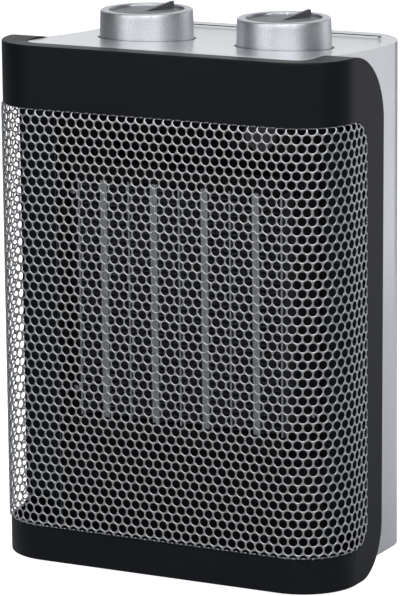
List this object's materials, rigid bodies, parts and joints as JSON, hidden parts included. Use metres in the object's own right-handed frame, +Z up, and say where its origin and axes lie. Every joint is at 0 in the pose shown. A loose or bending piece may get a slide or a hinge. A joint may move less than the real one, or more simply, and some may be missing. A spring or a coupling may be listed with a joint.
{
  "type": "ceramic space heater",
  "caption": "Upright ceramic fan heater: silver housing, black wrap-round bezel with a perforated steel grille, and two rotary knobs on top.",
  "frame": {"origin": "bottom centre of the box that holds the whole heater, on the surface it stands on", "axes": "+Z up, the front grille faces -Y, +X to the right of someone who looks at the front"},
  "size_m": [0.1896, 0.127, 0.2739],
  "materials": {
    "bezel_black": "satin gloss black moulding",
    "grille_steel": "perforated sheet, bright satin",
    "housing_silver": "fine metallic silver lacquer, semi gloss",
    "panel_black": "fine matt moulding",
    "knob_silver": "satin turned metal look",
    "knob_cap_grey": "satin dark grey",
    "rubber": "matt rubber",
    "steel": "zinc plated sheet",
    "blackened_steel": "blackened steel near the hot air",
    "screw_steel": "zinc plated screws",
    "aluminium": "bare aluminium",
    "ceramic": "fired dark grey ceramic",
    "heatproof_black": "heat resistant moulding",
    "fan_white": "natural moulded fan",
    "lamination": "laminated steel",
    "copper": "varnished copper winding",
    "brass": "brass",
    "switch_body": "phenolic moulding",
    "terminal_white": "white moulded block"
  },
  "bodies": {
    "heater_body": {"front_bezel": "bezel_black", "front_grille": "grille_steel", "housing_shell": "housing_silver", "rear_grille": "panel_black", "inner_frame": "heatproof_black", "heating_bars": "aluminium", "ceramic_stones": "ceramic", "element_side_plates": "aluminium", "fin_strips": "aluminium", "element_holder_top": "heatproof_black", "element_holder_bottom": "heatproof_black", "element_terminals": "steel", "terminal_sleeves": "heatproof_black", "cutoff_bracket": "blackened_steel", "thermal_cutoff": "switch_body", "fan_duct": "heatproof_black", "motor_stator": "lamination", "coil_bobbin": "terminal_white", "motor_coil": "copper", "motor_mount": "steel", "motor_rear_bracket": "steel", "motor_bushes": "brass", "control_plate": "steel", "selector_switch": "switch_body", "thermostat": "switch_body", "switch_nuts": "steel", "knob_rings": "panel_black", "base_plate": "panel_black", "rubber_feet": "rubber", "tip_over_switch": "switch_body", "tip_over_spring": "steel", "terminal_block": "terminal_white", "cable_gland": "panel_black", "bezel_screws": "blackened_steel", "frame_screws": "blackened_steel", "duct_screws": "screw_steel", "holder_screws": "blackened_steel", "cutoff_screws": "blackened_steel", "rear_grille_screws": "screw_steel", "motor_screws": "screw_steel", "mount_screws": "screw_steel", "control_plate_screws": "screw_steel", "base_screws": "screw_steel", "terminal_block_screws": "screw_steel", "tip_switch_screws": "screw_steel"},
    "fan_assembly": {"fan_wheel": "fan_white", "motor_shaft": "steel", "motor_rotor": "lamination"},
    "selector_control": {"selector_knob": "knob_silver", "selector_knob_cap": "knob_cap_grey", "selector_shaft": "steel"},
    "thermostat_control": {"thermostat_knob": "knob_silver", "thermostat_knob_cap": "knob_cap_grey", "thermostat_shaft": "steel"},
    "plunger": {"tip_over_plunger": "terminal_white"}
  },
  "joints": [
    {"name": "fan_spin", "type": "hinge", "parent": "heater_body", "child": "fan_assembly", "pos_m": [0, 0.011, 0.1327], "axis": [0, -1, 0], "continuous": true},
    {"name": "selector_turn", "type": "hinge", "parent": "heater_body", "child": "selector_control", "pos_m": [-0.0377, 0.0035, 0.26], "axis": [0, 0, -1], "range_deg": [0, 135]},
    {"name": "thermostat_turn", "type": "hinge", "parent": "heater_body", "child": "thermostat_control", "pos_m": [0.0377, 0.0035, 0.26], "axis": [0, 0, -1], "range_deg": [0, 270]},
    {"name": "plunger_slide", "type": "slide", "parent": "heater_body", "child": "plunger", "axis": [0, 0, -1], "range_m": [0, 0.0035], "stiffness_N_per_m": 40, "springref_m": 0.008, "deforming": ["tip_over_spring"]}
  ]
}
